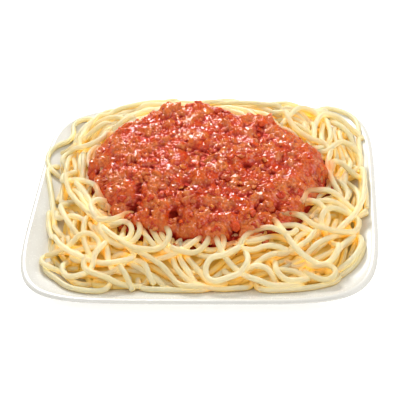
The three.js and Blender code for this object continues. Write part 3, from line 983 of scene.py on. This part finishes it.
# The large ones that show: a place and a half width
MARKED_LUMPS = {
    "mince_crumbs": [
        (-4, -35, 4.2), (-12, -46, 2.4), (-22, -49, 2.4), (36, -39, 2.2), (13, -20, 2.6), (-44, 1, 2.6),
        (-50, -11, 2.4), (-27, -19, 2.4), (35, 9, 2.2), (30, -48, 2.6), (1, -49, 2.6), (-10, -59, 2.0),
        (-60, 6, 2.4), (61, -2, 2.4), (-34, -42, 2.4), (34, -52, 2.2), (-11, 2, 2.6), (20, -6, 2.4),
    ],
    "tomato_pieces": [
        (7, -32, 2.6), (4, -55, 2.6), (11, -52, 2.8), (35, -29, 2.8), (42, -31, 2.4), (51, -25, 2.4),
        (27, -43, 2.6), (-14, -22, 2.4), (30, 27, 3.0), (6, 40, 3.2), (12, 39, 3.0), (-9, 43, 3.0),
        (-46, 30, 2.6), (27, 5, 2.8), (-24, -35, 2.4), (-40, -31, 2.4), (19, -49, 2.6), (56, 3, 2.8),
        (43, -2, 2.6), (-14, 26, 2.4), (-4, 46, 2.4), (34, 36, 2.2), (18, -58, 2.2), (-15, -32, 2.4),
    ],
    "vegetable_bits": [
        (-36, -7, 2.0), (-9, -13, 1.8), (-20, -39, 2.0), (7, -40, 2.0), (-3, -54, 2.4), (38, -21, 1.8),
        (24, -45, 2.0), (21, -24, 2.0), (-44, -21, 1.6), (0, 9, 1.6), (32, -26, 1.8), (-11, -55, 1.8),
        (-44, -35, 2.2),
    ],
}  # fmt: skip


def ball(levels):
    """Points and triangles of an even ball."""
    mesh = bmesh.new()
    bmesh.ops.create_icosphere(mesh, subdivisions=levels, radius=1)
    points = np.array([vertex.co[:] for vertex in mesh.verts])
    faces = np.array([[vertex.index for vertex in face.verts] for face in mesh.faces])
    mesh.free()
    return points, faces


def chunk_reaches(draw, ways, count):
    """How far out the skins of uneven chunks lie along these ways: soft-edged cuts, then waves."""
    cuts = unit(draw.normal(0, 1, (count, LUMP_CUTS, 3)))
    depths = draw.uniform(0.6, 1.0, (count, LUMP_CUTS, 1))
    facing = np.einsum("nkc,vc->nkv", cuts, ways)
    nearness = (np.maximum(facing, 0.05) / depths) ** 8
    reaches = (nearness.sum(1) + 0.8**8) ** -0.125
    for waves, depth in LUMP_WAVES:
        along = waves * unit(draw.normal(0, 1, (count, 3, 3)))
        starts = draw.uniform(0, 2 * math.pi, (count, 3, 1))
        reaches += depth / 1.7 * np.sin(np.einsum("nkc,vc->nkv", along, ways) + starts).sum(1)
    return reaches


def lumps_piece(name, relief, slot):
    """One piece from lumps of one kind, each of its own shape, sunk into the sauce."""
    seed, count, smallest, largest, squat = LUMPS[name]
    draw = np.random.default_rng(seed)
    shape, triangles = ball(LUMP_ROUNDNESS)
    places = draw.uniform(-1, 1, (count * 3, 2)) * max(SAUCE_REACH) + SAUCE_MIDDLE
    places = places[sauce_share(*places.T) < LUMP_EDGE][:count]
    size = smallest * (largest / smallest) ** (draw.random(len(places)) ** 1.3)
    marked = np.array(MARKED_LUMPS[name], float)
    places = np.concatenate([marked[:, :2], places])
    size = np.concatenate([marked[:, 2], size])
    count = len(places)
    points = shape[None] * chunk_reaches(draw, shape, count)[..., None]
    points *= (size[:, None] * draw.uniform(*LUMP_STRETCH, (count, 3)))[:, None]
    ground = relief["height"].blurred(1.5)
    slopes = []
    for step in ((SLOPE_REACH, 0), (0, SLOPE_REACH)):
        rise = ground.at(*(places + step).T) - ground.at(*(places - step).T)
        slopes.append(rise / (2 * SLOPE_REACH))
    out = unit(np.column_stack([-slopes[0], -slopes[1], np.ones(count)]))
    side = unit(np.cross(out, draw.normal(0, 1, (count, 3))))
    along = np.cross(out, side)
    sunk = size * squat * draw.uniform(*LUMP_SUNK, count)
    sunk[: len(marked)] *= MARKED_SUNK
    middle = np.column_stack([places, ground.at(*places.T)]) - sunk[:, None] * out
    points = (
        middle[:, None]
        + points[..., :1] * side[:, None]
        + points[..., 1:2] * along[:, None]
        + squat * points[..., 2:] * out[:, None]
    )
    faces = triangles[None] + (np.arange(count) * len(shape))[:, None, None]
    over = (points[..., 2] - relief["height"].at(points[..., 0], points[..., 1])) * out[:, 2:]
    return new_piece(
        name,
        points.reshape(-1, 3),
        faces.reshape(-1, 3),
        slot,
        None,
        bare=np.clip(over / (0.8 * size[:, None]), 0, 1).ravel(),
        tone=np.repeat(draw.uniform(-1, 1, count), len(shape)),
    )


# Materials


class Socket:
    """An output of a node that takes part in sums: each operator adds a Math node."""

    def __init__(self, finish, link):
        self.finish = finish
        self.link = link

    def _sum(self, operation, first, second):
        return self.finish.node("Math", {"operation": operation}, {0: first, 1: second})

    def __add__(self, other):
        return self._sum("ADD", self, other)

    def __sub__(self, other):
        return self._sum("SUBTRACT", self, other)

    def __rsub__(self, other):
        return self._sum("SUBTRACT", other, self)

    def __mul__(self, other):
        return self._sum("MULTIPLY", self, other)

    __radd__ = __add__
    __rmul__ = __mul__


class Finish:
    """A material and its nodes."""

    def __init__(self, name):
        self.material = bpy.data.materials.new(name)
        self.material.use_nodes = True
        self.tree = self.material.node_tree
        self.shader = self.tree.nodes["Principled BSDF"]
        self.place = self.node("TexCoord", output="Object")

    def node(self, kind, settings=None, inputs=None, output=0):
        """Adds a node of one kind, with its settings first, and gives one of its outputs."""
        made = self.tree.nodes.new("ShaderNode" + kind)
        for key, value in (settings or {}).items():
            setattr(made, key, value)
        for key, value in (inputs or {}).items():
            self.feed(made.inputs[key], value)
        return Socket(self, made.outputs[output])

    def feed(self, socket, value):
        """Links a socket, or sets it to a number or colour."""
        if isinstance(value, Socket):
            self.tree.links.new(value.link, socket)
        elif hasattr(value, "__len__") and len(value) == 3 and socket.type == "RGBA":
            socket.default_value = (*value, 1)
        else:
            socket.default_value = value

    def mix(self, factor, first, second):
        """Two colours mixed."""
        return self.node("Mix", {"data_type": "RGBA"}, {0: factor, 6: first, 7: second}, output=2)

    def noise(self, scale, detail):
        """Even noise from 0 to 1, with its scale in bumps per metre."""
        return self.node("TexNoise", None, {"Vector": self.place, "Scale": scale, "Detail": detail})

    def between(self, value, low, high, start=0.0, end=1.0):
        """The value's way from low to high, as a number from start to end."""
        inputs = {"Value": value, "From Min": low, "From Max": high, "To Min": start, "To Max": end}
        return self.node("MapRange", {"clamp": True, "interpolation_type": "SMOOTHSTEP"}, inputs)

    def attribute(self, name):
        """One of the piece's own numbers."""
        return self.node("Attribute", {"attribute_name": name}, output="Fac")

    def openness(self, distance):
        """How open the surface lies: 0 in a narrow gap, 1 where nothing is near."""
        return self.node("AmbientOcclusion", {"samples": 6}, {"Distance": distance}, output="AO")

    def bump(self, height, strength, distance):
        """Fine relief, with its depth in metres."""
        return self.node("Bump", None, {"Height": height, "Strength": strength, "Distance": distance})

    def dress(self, piece, **sockets):
        """Sets the shader's sockets and puts the material on a piece."""
        for key, value in sockets.items():
            self.feed(self.shader.inputs[key.replace("_", " ").title().replace("Ior", "IOR")], value)
        piece.data.materials.clear()
        piece.data.materials.append(self.material)


# Second colours, which each thing varies towards
GLAZE_CLOUD = (0.79, 0.775, 0.72)
PALE_SECOND = (0.81, 0.73, 0.46)
FLESH_SECOND = (0.78, 0.15, 0.014)
MINCE_SECOND = (0.74, 0.24, 0.055)
BITS_SECOND = (0.9, 0.32, 0.05)
SMOOTH_RED = (0.7, 0.045, 0.003)
ORANGE_FAT = (0.79, 0.235, 0.052)
# Orange of random patches, and painted light on the tops of raised crumbs
PATCH_AND_LIT_TOP_ORANGE = (0.8, 0.165, 0.018)
LIGHT_SPECK = (0.88, 0.26, 0.04)
# Painted shade in the sauce's deepest pits and hollows
HOLLOW_SHADE_RED = (0.15, 0.005, 0.001)
MINCE_LUMP = (0.84, 0.3, 0.07)
TOMATO_LUMP = (0.9, 0.13, 0.006)
VEGETABLE_LUMP = (0.92, 0.38, 0.06)
FLOOR_CLOUD = (0.9, 0.9, 0.9)
GLOW = (0.058, 0.038, 0.003)  # the light that comes through the strands into their gaps


def glaze_plate(piece, settings):
    """White porcelain under a clear glaze."""
    finish = Finish("white_glaze")
    speckle = finish.noise(900, 3)
    clouds = finish.noise(35, 1)
    white = finish.mix(finish.between(clouds, 0.35, 0.65, 0, 0.35), settings.glaze, GLAZE_CLOUD)
    roughness = finish.between(speckle, 0.3, 0.7, 0.22, 0.28)
    ripple = finish.bump(clouds, 0.25, 0.0002)
    finish.dress(piece, base_color=white, roughness=roughness, normal=ripple, ior=1.5)


def cook_strands(piece, settings):
    """Moist pasta: pale on top, painted amber shade where it lies deep or in narrow gaps, reddened beside
    the sauce.
    """
    finish = Finish("cooked_pasta_" + piece.name)
    depth = finish.attribute("depth")
    tone = finish.attribute("tone")
    stain = finish.attribute("stain")
    mottled = finish.noise(260, 3)
    pale = finish.mix(finish.between(tone, -1, 1, 0, 1), settings.pale, PALE_SECOND)
    # Painted shade: the strands go amber by how deep they lie under the heap's tops and how closed in they
    # are by their neighbours, with a little random mottling
    hidden = 1 - finish.openness(0.006)
    sunk = finish.between(depth * 0.8 + hidden * 0.4 + mottled * 0.1, 0.2, 0.85)
    body = finish.mix(sunk, pale, settings.amber)
    # Painted light: a faint amber glow where the strands lie deep or closed in, standing in for light that
    # comes through them
    glow = finish.mix(finish.between(depth * 0.8 + hidden * 0.3, 0.2, 1.0), (0, 0, 0), GLOW)
    reddened = finish.mix(stain * 0.85, body, settings.stained)
    grain = finish.noise(1400, 2)
    roughness = finish.between(mottled, 0.3, 0.7, 0.3, 0.48)
    finish.shader.subsurface_method = "BURLEY"
    finish.dress(
        piece,
        base_color=reddened,
        roughness=roughness,
        normal=finish.bump(grain, 0.3, 0.00008),
        emission_color=glow,
        emission_strength=1.0,
        subsurface_weight=0.9,
        subsurface_radius=(1.0, 0.75, 0.4),
        subsurface_scale=0.007,
        specular_ior_level=0.4,
        ior=1.4,
    )


def simmer_sauce(piece, settings):
    """Wet sauce: meat, tomato and vegetable under a glossy red film, with painted shade in its pits and
    hollows and painted light on its raised parts.
    """
    finish = Finish("meat_sauce_" + piece.name)
    meat, tomato, vegetable = (finish.attribute(name) for name in ("meat", "tomato", "vegetable"))
    tone = finish.attribute("tone")
    pit = finish.attribute("pit")
    hollow = finish.attribute("hollow")
    zones = finish.noise(120, 1)
    grain = finish.noise(1500, 4)
    clouds = finish.noise(260, 3)
    patches = finish.noise(110, 2)
    film = finish.mix(finish.between(clouds, 0.35, 0.65), settings.deep, settings.red)
    flesh = finish.mix(finish.between(tone, -1, 1), settings.red, FLESH_SECOND)
    mince = finish.mix(finish.between(tone + grain, -0.6, 1.6), settings.meat, MINCE_SECOND)
    bits = finish.mix(finish.between(tone, -1, 1), settings.vegetable, BITS_SECOND)
    filmed = finish.between(clouds + grain * 0.6, 0.55, 1.05)
    body = finish.mix(tomato * 0.8, film, flesh)
    body = finish.mix(meat * (1 - filmed * 0.8), body, mince)
    body = finish.mix(vegetable * 0.8, body, bits)
    body = finish.mix(finish.between(zones, 0.4, 0.52, 0.7, 0), body, SMOOTH_RED)
    body = finish.mix(finish.between(zones, 0.48, 0.6, 0, 0.55), body, ORANGE_FAT)
    # Random orange patches, partly painted light: the mix is stronger on raised parts and weaker in pits
    # and hollows, so the tops of the crumbs are painted lighter
    orange_patch_and_lit_top = finish.between(patches * 0.8 - pit * 0.35 - hollow * 0.5, 0.4, 1.0, 0, 0.5)
    body = finish.mix(orange_patch_and_lit_top, body, PATCH_AND_LIT_TOP_ORANGE)
    speckle = finish.noise(1000, 3)
    body = finish.mix(finish.between(speckle, 0.54, 0.68, 0, 0.5), body, LIGHT_SPECK)
    body = finish.mix(finish.between(speckle, 0.34, 0.46, 0.4, 0), body, settings.deep)
    # Painted shade: the sauce is painted deep red, and near black-red where deepest, in its pits, hollows
    # and narrow gaps
    open_air = finish.openness(0.0025)
    low = pit * 0.45 + hollow * 0.7 + (1 - open_air) * 0.75
    shaded = finish.mix(finish.between(low, 0.05, 0.7), body, settings.deep)
    darkest = finish.mix(finish.between(low, 0.5, 1.1, 0, 0.8), shaded, HOLLOW_SHADE_RED)
    finish.dress(
        piece,
        base_color=darkest,
        roughness=finish.between(low, 0.2, 0.8, 0.11, 0.6),
        metallic=finish.between(low, 0.25, 0.85, 0, 0.9),
        normal=finish.bump(finish.noise(950, 0), 0.5, 0.0005),
        subsurface_weight=0.15,
        subsurface_radius=(1.0, 0.25, 0.1),
        subsurface_scale=0.001,
        specular_ior_level=0.6,
        ior=1.45,
    )


def dress_lumps(piece, first, second, settings, scatter):
    """Lumps of one kind, from their own colours on top to the sauce that clings to their sides, with
    painted shade in narrow gaps.
    """
    finish = Finish("coated_" + piece.name)
    tone = finish.attribute("tone")
    grain = finish.noise(1600, 3)
    clouds = finish.noise(420, 2)
    own = finish.mix(finish.between(tone + grain * 1.2, -0.7, 1.7), first, second)
    film = finish.mix(clouds, settings.deep, settings.red)
    bare = finish.between(finish.attribute("bare") + clouds * 0.7, 0.5, 1.2, 0, 0.85)
    body = finish.mix(bare, film, own)
    # Painted shade: the lumps are painted deep red where they are closed in by their neighbours
    hidden = 1 - finish.openness(0.003)
    shaded = finish.mix(finish.between(hidden, 0.25, 0.8, 0, 0.9), body, settings.deep)
    finish.dress(
        piece,
        base_color=shaded,
        roughness=finish.between(grain, 0.3, 0.7, 0.2, 0.35),
        normal=finish.bump(finish.noise(900, 0), 0.5, 0.0005),
        subsurface_weight=scatter,
        subsurface_radius=(1.0, 0.3, 0.12),
        subsurface_scale=0.001,
        specular_ior_level=0.6,
        ior=1.4,
    )


# Operators


class BOLOGNESE_OT_plate(bpy.types.Operator):
    """Models the square plate from its foot over the lip to the well"""

    bl_idname = "bolognese.plate"
    bl_label = "Plate"

    OUTLINE_POINTS = 72
    CORNER_CROWDING = 0.5
    # Shares of the half width and heights in millimetres, from the foot's hollow to the well
    PROFILE = [
        (0.3, 1.6), (0.5, 1.6), (0.512, 0.15), (0.52, 0.0), (0.56, 0.0), (0.568, 0.2), (0.585, 1.6),
        (0.69, 3.4), (0.83, 7.0), (0.95, 10.6), (0.985, 11.9), (0.999, 13.0), (1.0, 13.7),
        (0.993, 14.4), (0.98, 14.6), (0.967, 14.3), (0.955, 13.6), (0.9, 12.2), (0.83, 10.2),
        (0.76, 8.3), (0.69, 6.7), (0.62, 5.6), (0.54, 5.0), (0.5, 5.0), (0.3, 5.0),
    ]  # fmt: skip

    def execute(self, context):
        settings = context.scene.bolognese_plate
        bpy.ops.object.select_all(action="DESELECT")
        first_share, first_height = self.PROFILE[0]
        bpy.ops.mesh.primitive_circle_add(
            vertices=self.OUTLINE_POINTS, fill_type="NGON", location=(0, 0, 0)
        )
        plate = context.object
        plate.name = "white_plate"
        for vertex in plate.data.vertices:
            turn = math.atan2(vertex.co.y, vertex.co.x)
            angle = turn + self.CORNER_CROWDING * math.sin(4 * turn) / 4
            across, along = math.cos(angle), math.sin(angle)
            out = settings.half_width * first_share / square_share(across, along, 1, PLATE_POWER)
            vertex.co = (out * across, out * along, first_height * MM)
        bpy.ops.object.mode_set(mode="EDIT")
        bpy.ops.mesh.select_all(action="SELECT")
        pairs = zip(self.PROFILE, self.PROFILE[1:])
        for (share_before, height_before), (share_after, height_after) in pairs:
            rise = (height_after - height_before) * MM
            bpy.ops.mesh.extrude_region_move(TRANSFORM_OT_translate={"value": (0, 0, rise)})
            scale = share_after / share_before
            bpy.ops.transform.resize(value=(scale, scale, 1), center_override=(0, 0, height_after * MM))
        bpy.ops.mesh.select_all(action="SELECT")
        bpy.ops.mesh.normals_make_consistent(inside=False)
        bpy.ops.object.mode_set(mode="OBJECT")
        rounding = plate.modifiers.new("rounding", "SUBSURF")
        rounding.levels = 2
        rounding.render_levels = 2
        bpy.ops.object.modifier_apply(modifier=rounding.name)
        bpy.ops.object.shade_smooth()
        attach(plate, BODY)
        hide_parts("plate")
        glaze_plate(plate, settings)
        return {"FINISHED"}


class BOLOGNESE_OT_strands(bpy.types.Operator):
    """Heaps the strands, in a lower and an upper piece"""

    bl_idname = "bolognese.strands"
    bl_label = "Strands"

    SEED = 2
    # Sides of a strand, and the millimetres between its rings
    LOWER_MESH = (8, 2.0)
    UPPER_MESH = (12, 1.2)

    def execute(self, context):
        settings = context.scene.bolognese_spaghetti
        pile = pile_up(settings.width / 2 / MM)
        draw = np.random.default_rng(self.SEED)
        half = len(pile.strands) // 2
        below, above = pile.strands[:half], pile.strands[half:]
        lower = strands_piece("spaghetti_lower", pile, below, *self.LOWER_MESH, "spaghetti", draw)
        upper = strands_piece("spaghetti_upper", pile, above, *self.UPPER_MESH, None, draw)
        cook_strands(lower, settings)
        cook_strands(upper, settings)
        return {"FINISHED"}


class BOLOGNESE_OT_core(bpy.types.Operator):
    """Models the core that the strands hide"""

    bl_idname = "bolognese.core"
    bl_label = "Hidden Core"

    SIDE = 120
    EDGE = 0.9

    def execute(self, context):
        settings = context.scene.bolognese_spaghetti
        points, faces = closed_mound(self.SIDE, HEAP_PEAK, self.reach, core_top, self.underside)
        covered = (sauce_share(points[:, 0], points[:, 1]) < 1).astype(float)
        # Painted shade: the core counts as lying deep all over, so it is painted wholly in the strands'
        # amber shade
        sunk = np.ones(len(points))
        core = new_piece(
            "spaghetti_core", points, faces, "cooked_pasta", None, depth=sunk, stain=covered, tone=0 * sunk
        )
        cook_strands(core, settings)
        return {"FINISHED"}

    @staticmethod
    def underside(x, y):
        """A little way into the plate."""
        return np.minimum(core_top(x, y) - 0.3, plate_top(x, y) - 0.5)

    @classmethod
    def reach(cls, angle):
        """From the heap's peak to the core's edge."""
        return heap_reach(np.cos(angle), np.sin(angle), cls.EDGE)


def relief_now(scene):
    """The sauce's relief with the scene's settings."""
    radius = scene.bolognese_spaghetti.width / 2 / MM
    return dict(sauce_relief(radius, scene.bolognese_sauce.thickness / MM))


class BOLOGNESE_OT_sauce(bpy.types.Operator):
    """Pours the sauce over the strands"""

    bl_idname = "bolognese.sauce"
    bl_label = "Sauce"

    SIDE = 298
    PAST_EDGE = 1.03  # the mesh reaches on to this share of the way out, to end among the strands
    SLOPE_WIDTH = 0.8  # the detail stands out of the base as smoothed over this width

    def execute(self, context):
        relief = relief_now(context.scene)
        height = relief.pop("height")
        detail = relief.pop("detail")

        def reach(angle):
            return self.PAST_EDGE * sauce_reach(angle)

        def underside(x, y):
            return np.minimum(height.at(x, y) - 0.3, core_top(x, y) + 0.5)

        points, faces = closed_mound(self.SIDE, SAUCE_MIDDLE, reach, height.at, underside)
        numbers = {name: layer.at(*points[:, :2].T) for name, layer in relief.items()}
        top = points[: self.SIDE**2]
        slope_y, slope_x = np.gradient(height.blurred(self.SLOPE_WIDTH).values, height.cell)
        out = [-height.like(slope).at(*top[:, :2].T) for slope in (slope_x, slope_y)]
        out = unit(np.column_stack([*out, np.ones(len(top))]))
        top += out * detail.at(*top[:, :2].T)[:, None]
        body = new_piece("bolognese_sauce_body", points, faces, "meat_sauce", "bolognese_sauce", **numbers)
        simmer_sauce(body, context.scene.bolognese_sauce)
        return {"FINISHED"}


class BOLOGNESE_OT_lumps(bpy.types.Operator):
    """Strews minced meat, tomato and vegetables into the sauce"""

    bl_idname = "bolognese.lumps"
    bl_label = "Meat, Tomato and Vegetables"

    def execute(self, context):
        relief = relief_now(context.scene)
        sauce = context.scene.bolognese_sauce
        # Each kind's two colours, and how far light goes into it
        kinds = {
            "mince_crumbs": (sauce.meat, MINCE_LUMP, 0.1),
            "tomato_pieces": (sauce.red, TOMATO_LUMP, 0.4),
            "vegetable_bits": (sauce.vegetable, VEGETABLE_LUMP, 0.3),
        }
        for name, (first, second, scatter) in kinds.items():
            piece = lumps_piece(name, relief, "meat_sauce")
            dress_lumps(piece, first, second, sauce, scatter)
        return {"FINISHED"}


class BOLOGNESE_OT_stage(bpy.types.Operator):
    """Sets the floor, the lights and the camera"""

    bl_idname = "bolognese.stage"
    bl_label = "Stage"

    # The camera, from the plate's outline in the 400-pixel picture
    AZIMUTH = math.radians(5.337)
    ELEVATION = math.radians(34.727)
    ROLL = math.radians(-3.17)
    DISTANCE = 0.7706
    TARGET = Vector((-0.0018, -0.0049, 0.0146))
    FOCAL_PIXELS = 1471.7
    PICTURE_PIXELS = 400
    FLOOR_GLOW = 0.42
    # The room's shades: an axis, from where to where along it, and the shares there
    ROOM_SHADES = [("Y", -0.3, 0.5, 1, 0.4), ("Z", 0.1, 0.6, 0.5, 1)]
    # Each light's place and size
    LIGHTS = {
        "softbox": ((-0.24, 0.78, 0.67), 0.3),
        "front_light": ((-0.35, -0.75, 0.95), 0.4),
        "side_light": ((0.9, 0.1, 0.8), 0.8),
    }

    def execute(self, context):
        settings = context.scene.bolognese_stage
        bpy.ops.object.select_all(action="DESELECT")
        bpy.ops.mesh.primitive_plane_add(size=8, location=(0, 0, -0.0002))
        floor = context.object
        floor.name = "floor"
        finish = Finish("pale_floor")
        shade = finish.noise(3, 1)
        pale = finish.mix(shade * 0.05, settings.floor, FLOOR_CLOUD)
        finish.dress(
            floor,
            base_color=pale,
            roughness=0.8,
            emission_color=settings.floor,
            emission_strength=self.FLOOR_GLOW,
        )

        self.room(context.scene, settings.room_light)
        context.scene.view_settings.view_transform = "Standard"
        for name, (place, size) in self.LIGHTS.items():
            self.light(name, place, size, getattr(settings, name))

        camera = bpy.data.objects.new("camera", bpy.data.cameras.new("camera"))
        context.scene.collection.objects.link(camera)
        context.scene.camera = camera
        camera.data.sensor_width = 36
        camera.data.lens = camera.data.sensor_width * self.FOCAL_PIXELS / self.PICTURE_PIXELS
        camera.data.clip_start = 0.05
        a, e = self.AZIMUTH, self.ELEVATION
        back = Vector((math.sin(a) * math.cos(e), -math.cos(a) * math.cos(e), math.sin(e)))
        right = Vector((math.cos(a), math.sin(a), 0))
        up = back.cross(right)
        cos, sin = math.cos(self.ROLL), math.sin(self.ROLL)
        right, up = right * cos + up * sin, up * cos - right * sin
        camera.matrix_world = Matrix.Translation(self.TARGET + back * self.DISTANCE) @ Matrix(
            (right, up, back)
        ).transposed().to_4x4()
        return {"FINISHED"}

    @classmethod
    def room(cls, scene, strength):
        """Even light from a white room that is darker at the back."""
        world = bpy.data.worlds.new("studio")
        scene.world = world
        world.use_nodes = True
        nodes, links = world.node_tree.nodes, world.node_tree.links
        toward = nodes.new("ShaderNodeSeparateXYZ")
        links.new(nodes.new("ShaderNodeTexCoord").outputs["Generated"], toward.inputs[0])
        shades = nodes.new("ShaderNodeMath")
        shades.operation = "MULTIPLY"
        for n, (axis, low, high, first, last) in enumerate(cls.ROOM_SHADES):
            side = nodes.new("ShaderNodeMapRange")
            values = {"From Min": low, "From Max": high, "To Min": first, "To Max": last}
            for key, value in values.items():
                side.inputs[key].default_value = value
            links.new(toward.outputs[axis], side.inputs["Value"])
            links.new(side.outputs[0], shades.inputs[n])
        links.new(shades.outputs[0], nodes["Background"].inputs["Color"])
        nodes["Background"].inputs["Strength"].default_value = strength

    @staticmethod
    def light(name, place, size, white):
        """A soft square light that faces the plate, and how white it makes a white table."""
        light = bpy.data.objects.new(name, bpy.data.lights.new(name, "AREA"))
        place = Vector(place)
        light.data.size = size
        light.data.energy = white * math.pi**2 * place.length**3 / place.z
        light.location = place
        light.rotation_euler = place.to_track_quat("Z", "Y").to_euler()
        bpy.context.scene.collection.objects.link(light)


class BOLOGNESE_PT_panel(bpy.types.Panel):
    """Lists the steps that make the plate of spaghetti"""

    bl_label = "Bolognese"
    bl_space_type = "VIEW_3D"
    bl_region_type = "UI"
    bl_category = "Bolognese"

    def draw(self, context):
        for settings, operators in STEPS:
            box = self.layout.box()
            group = getattr(context.scene, settings)
            for name in group.bl_rna.properties.keys():
                if name not in ("rna_type", "name"):
                    box.prop(group, name)
            for operator in operators:
                box.operator(operator.bl_idname)


STEPS = [
    ("bolognese_plate", [BOLOGNESE_OT_plate]),
    ("bolognese_spaghetti", [BOLOGNESE_OT_strands, BOLOGNESE_OT_core]),
    ("bolognese_sauce", [BOLOGNESE_OT_sauce, BOLOGNESE_OT_lumps]),
    ("bolognese_stage", [BOLOGNESE_OT_stage]),
]
SETTINGS = {
    "bolognese_plate": PlateSettings,
    "bolognese_spaghetti": SpaghettiSettings,
    "bolognese_sauce": SauceSettings,
    "bolognese_stage": StageSettings,
}
OPERATORS = [operator for _, operators in STEPS for operator in operators]


def register():
    for cls in [*SETTINGS.values(), *OPERATORS, BOLOGNESE_PT_panel]:
        bpy.utils.register_class(cls)
    for name, group in SETTINGS.items():
        setattr(bpy.types.Scene, name, PointerProperty(type=group))


def unregister():
    for name in SETTINGS:
        delattr(bpy.types.Scene, name)
    for cls in reversed([*SETTINGS.values(), *OPERATORS, BOLOGNESE_PT_panel]):
        bpy.utils.unregister_class(cls)


def main():
    register()
    bpy.ops.bolognese.plate()
    bpy.ops.bolognese.strands()
    bpy.ops.bolognese.core()
    bpy.ops.bolognese.sauce()
    bpy.ops.bolognese.lumps()
    bpy.ops.bolognese.stage()


if __name__ == "__main__":
    main()
